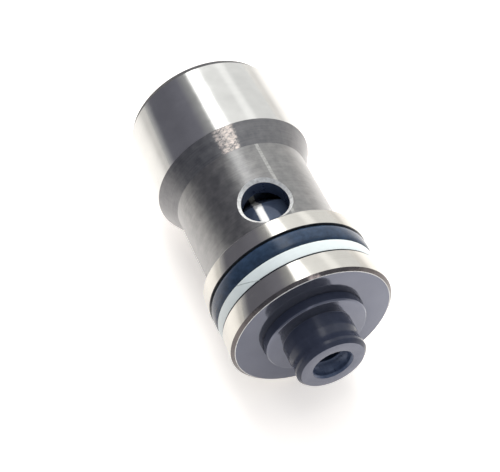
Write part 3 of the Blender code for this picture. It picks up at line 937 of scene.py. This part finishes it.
# ---------------------------------------------------------------- Seat
# A hardened ring pressed against the bore's shoulder. The poppet's cone closes on its sharp inner
# edge, and a small O-ring seals it in the sleeve.

SEAT_REAR = -21.35
SEAT_BORE = 4.52
SEAT_OUTER = SEAT_POCKET - 0.05
SEAT_GROOVE_FRONT = -19.15
SEAT_GROOVE_REAR = -20.35
SEAT_GROOVE_FLOOR = 6.45

seat = turn(
    "hardened_seat",
    [
        (SEAT_FRONT, SEAT_BORE),
        (SEAT_FRONT, SEAT_OUTER),
        (SEAT_GROOVE_FRONT, SEAT_OUTER),
        (SEAT_GROOVE_FRONT, SEAT_GROOVE_FLOOR),
        (SEAT_GROOVE_REAR, SEAT_GROOVE_FLOOR),
        (SEAT_GROOVE_REAR, SEAT_OUTER),
        (SEAT_REAR, SEAT_OUTER),
        (SEAT_REAR, SEAT_BORE),
    ],
    corner=0.03,
)
finish_piece(seat, "sleeve_body", ["seat_insert"], [ground_land])
seat_ring = o_ring("seat_seal", -19.75, 1.06, 6.48, 7.54)
finish_piece(seat_ring, "sleeve_body", ["seat_o_ring"], [nitrile], 0.0)

# ---------------------------------------------------------------- Return spring
# Phosphated spring-steel wire coiled with closed ends. Its front end bears on a hardened washer
# against the seat, and its rear end on the two shims that set its preload.

SPRING_FRONT = -21.95
SPRING_LENGTH = 6.7
SPRING_MEAN = 6.3
WIRE = 1.0
TURNS = 3.75
CLOSED_TURNS = 0.9
CLOSED_PITCH = 1.08

bright_steel = metal_finish(
    "bright_steel",
    dark=(0.46, 0.46, 0.45),
    light=(0.58, 0.58, 0.57),
    rough=(0.16, 0.28),
    grain=8.0,
    mottle=1.5,
    bump=0.15,
)
spring_steel = metal_finish(
    "spring_steel",
    dark=(0.12, 0.12, 0.13),
    light=(0.24, 0.24, 0.25),
    rough=(0.3, 0.42),
    grain=5.0,
    mottle=0.8,
    bump=0.25,
)


def wound_to(turn_count):
    """How far the wire's middle has come along the axis after this many turns, in mm."""
    travel = SPRING_LENGTH - WIRE
    closed = CLOSED_TURNS * CLOSED_PITCH
    open_turns = TURNS - 2 * CLOSED_TURNS
    if turn_count <= CLOSED_TURNS:
        return turn_count * CLOSED_PITCH
    if turn_count >= TURNS - CLOSED_TURNS:
        return travel - (TURNS - turn_count) * CLOSED_PITCH
    return closed + (turn_count - CLOSED_TURNS) / open_turns * (travel - 2 * closed)


begin_piece()
bpy.ops.curve.primitive_nurbs_path_add()
spring = bpy.context.object
spring.name = "coiled_return_spring"
spring.data.splines.clear()
wire_line = spring.data.splines.new("POLY")
wire_points = round(TURNS * 48) + 1
wire_line.points.add(wire_points - 1)
for index, wire_point in enumerate(wire_line.points):
    turns_done = TURNS * index / (wire_points - 1)
    around = 2 * math.pi * turns_done
    station = SPRING_FRONT - WIRE / 2 - wound_to(turns_done)
    wire_point.co = (station, SPRING_MEAN * math.sin(around), SPRING_MEAN * math.cos(around), 1.0)
spring.data.bevel_depth = WIRE / 2
spring.data.bevel_resolution = 5
spring.data.use_fill_caps = True
spring.select_set(True)
bpy.context.view_layer.objects.active = spring
bpy.ops.object.convert(target="MESH")
bpy.ops.object.mode_set(mode="EDIT")
bpy.ops.mesh.select_all(action="SELECT")
bpy.ops.mesh.remove_doubles(threshold=0.001)
bpy.ops.mesh.normals_make_consistent(inside=False)
bpy.ops.object.mode_set(mode="OBJECT")
finish_piece(spring, "sleeve_body", ["return_spring"], [spring_steel])
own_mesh(spring)

washer = flat_ring("spring_seat_washer", -21.4, 0.5, 4.5, 7.5, 0.04)
finish_piece(washer, "sleeve_body", ["spring_washer"], [bright_steel])
for label, cad_node, front, thickness in (
    ("thin", "preload_shim_thin", -28.7, 0.3),
    ("thick", "preload_shim_thick", -29.05, 0.5),
):
    shim = flat_ring("shim_" + label, front, thickness, 5.65, 7.1, 0.03)
    finish_piece(shim, "retainer_body", [cad_node], [bright_steel])

# ---------------------------------------------------------------- Spring retainer and collets
# A turned cup that carries the spring's rear end. Two half collets hold it on the spool's tail,
# their bead in the tail's groove, as valve collets do in an engine.

RETAINER_FRONT = -29.6
RETAINER_REAR = -31.8
retainer = turn(
    "turned_spring_retainer",
    [
        (RETAINER_FRONT + 1.4, 3.05),
        (RETAINER_FRONT + 1.4, 5.4),
        (RETAINER_FRONT + 1.2, 5.6),
        (RETAINER_FRONT, 5.6),
        (RETAINER_FRONT, 7.2),
        (RETAINER_FRONT - 1.0, 7.2),
        (RETAINER_FRONT - 1.0, 4.6),
        (RETAINER_REAR, 4.6),
        (RETAINER_REAR, 3.05),
    ],
)
finish_piece(retainer, "retainer_body", ["spring_retainer"], [oxide_gloss])

COLLET_SPLIT = 5.0
collet_section = [
    (RETAINER_FRONT, 2.05),
    (RETAINER_FRONT, 3.0),
    (RETAINER_REAR, 3.0),
    (RETAINER_REAR, 2.05),
    (-30.95, 2.05),
    (-30.95, 1.6),
    (-30.45, 1.6),
    (-30.45, 2.05),
]
for label, start in (("left", 0.0), ("right", 180.0)):
    half = turn(
        "split_collet_" + label,
        collet_section,
        corner=0.03,
        steps=64,
        degrees=180.0 - 2 * COLLET_SPLIT,
        start=start + COLLET_SPLIT,
    )
    finish_piece(half, "retainer_body", ["collet_" + label], [bright_steel])

# ---------------------------------------------------------------- Rear guide
# A blackened spider with six flow holes closes the sleeve's far end. Its bronze bush guides the
# spool's tail, and an internal retaining ring with two plier ears holds it in.

GUIDE_FRONT = -34.1
GUIDE_OUTER = GUIDE_POCKET - 0.05
FLOW_HOLES = 6
FLOW_PITCH = 5.225
FLOW_HOLE = 1.7
BUSH_FRONT = -33.5
BUSH_BORE = 2.05
BUSH_OUTER = 3.0
CLIP_FRONT = -36.65
CLIP_INNER = 7.45
CLIP_OUTER = CLIP_INNER + 1.6
CLIP_REAR = CLIP_FRONT - 1.0
CLIP_GAP = 34.0
EAR = 1.3

bronze = metal_finish(
    "bearing_bronze",
    dark=(0.46, 0.29, 0.12),
    light=(0.60, 0.40, 0.18),
    rough=(0.2, 0.3),
    grain=9.0,
    mottle=1.5,
    bump=0.15,
)

spider = turn(
    "flow_spider",
    [
        (GUIDE_FRONT, BUSH_OUTER + 0.05),
        (GUIDE_FRONT, GUIDE_OUTER - 0.2),
        (GUIDE_FRONT - 0.2, GUIDE_OUTER),
        (GUIDE_REAR + 0.2, GUIDE_OUTER),
        (GUIDE_REAR, GUIDE_OUTER - 0.2),
        (GUIDE_REAR, BUSH_OUTER + 0.05),
    ],
)
for index in range(FLOW_HOLES):
    around = 2 * math.pi * index / FLOW_HOLES
    side, rise = FLOW_PITCH * math.sin(around), FLOW_PITCH * math.cos(around)
    cut(spider, rod("flow_drill", -38.0, -33.0, FLOW_HOLE, side, rise))
finish_piece(spider, "sleeve_body", ["rear_guide"], [oxide_waist])

bush = turn(
    "bronze_tail_bush",
    [
        (BUSH_FRONT, BUSH_BORE + 0.1),
        (BUSH_FRONT, BUSH_OUTER - 0.1),
        (BUSH_FRONT - 0.1, BUSH_OUTER),
        (GUIDE_REAR, BUSH_OUTER),
        (GUIDE_REAR, BUSH_BORE + 0.1),
        (GUIDE_REAR + 0.1, BUSH_BORE),
        (BUSH_FRONT - 0.1, BUSH_BORE),
    ],
    corner=0.02,
)
finish_piece(bush, "sleeve_body", ["guide_bush"], [bronze])

clip = turn(
    "internal_retaining_ring",
    [
        (CLIP_FRONT, CLIP_INNER),
        (CLIP_FRONT, CLIP_OUTER),
        (CLIP_REAR, CLIP_OUTER),
        (CLIP_REAR, CLIP_INNER),
    ],
    corner=0.08,
    steps=170,
    degrees=360.0 - CLIP_GAP,
    start=CLIP_GAP / 2,
)
ear_pitch = CLIP_INNER - 0.4 * EAR
ear_lean = math.radians(CLIP_GAP / 2) + EAR / ear_pitch
ears = [(side * ear_pitch * math.sin(ear_lean), ear_pitch * math.cos(ear_lean)) for side in (-1, 1)]
for side, rise in ears:
    cut(clip, rod("ear", CLIP_FRONT - 0.02, CLIP_FRONT - 0.98, EAR, side, rise, 48), "UNION")
for side, rise in ears:
    cut(clip, rod("plier_hole", CLIP_FRONT + 1.0, CLIP_FRONT - 2.0, 0.55, side, rise, 32))
finish_piece(clip, "sleeve_body", ["retaining_ring"], [spring_steel])
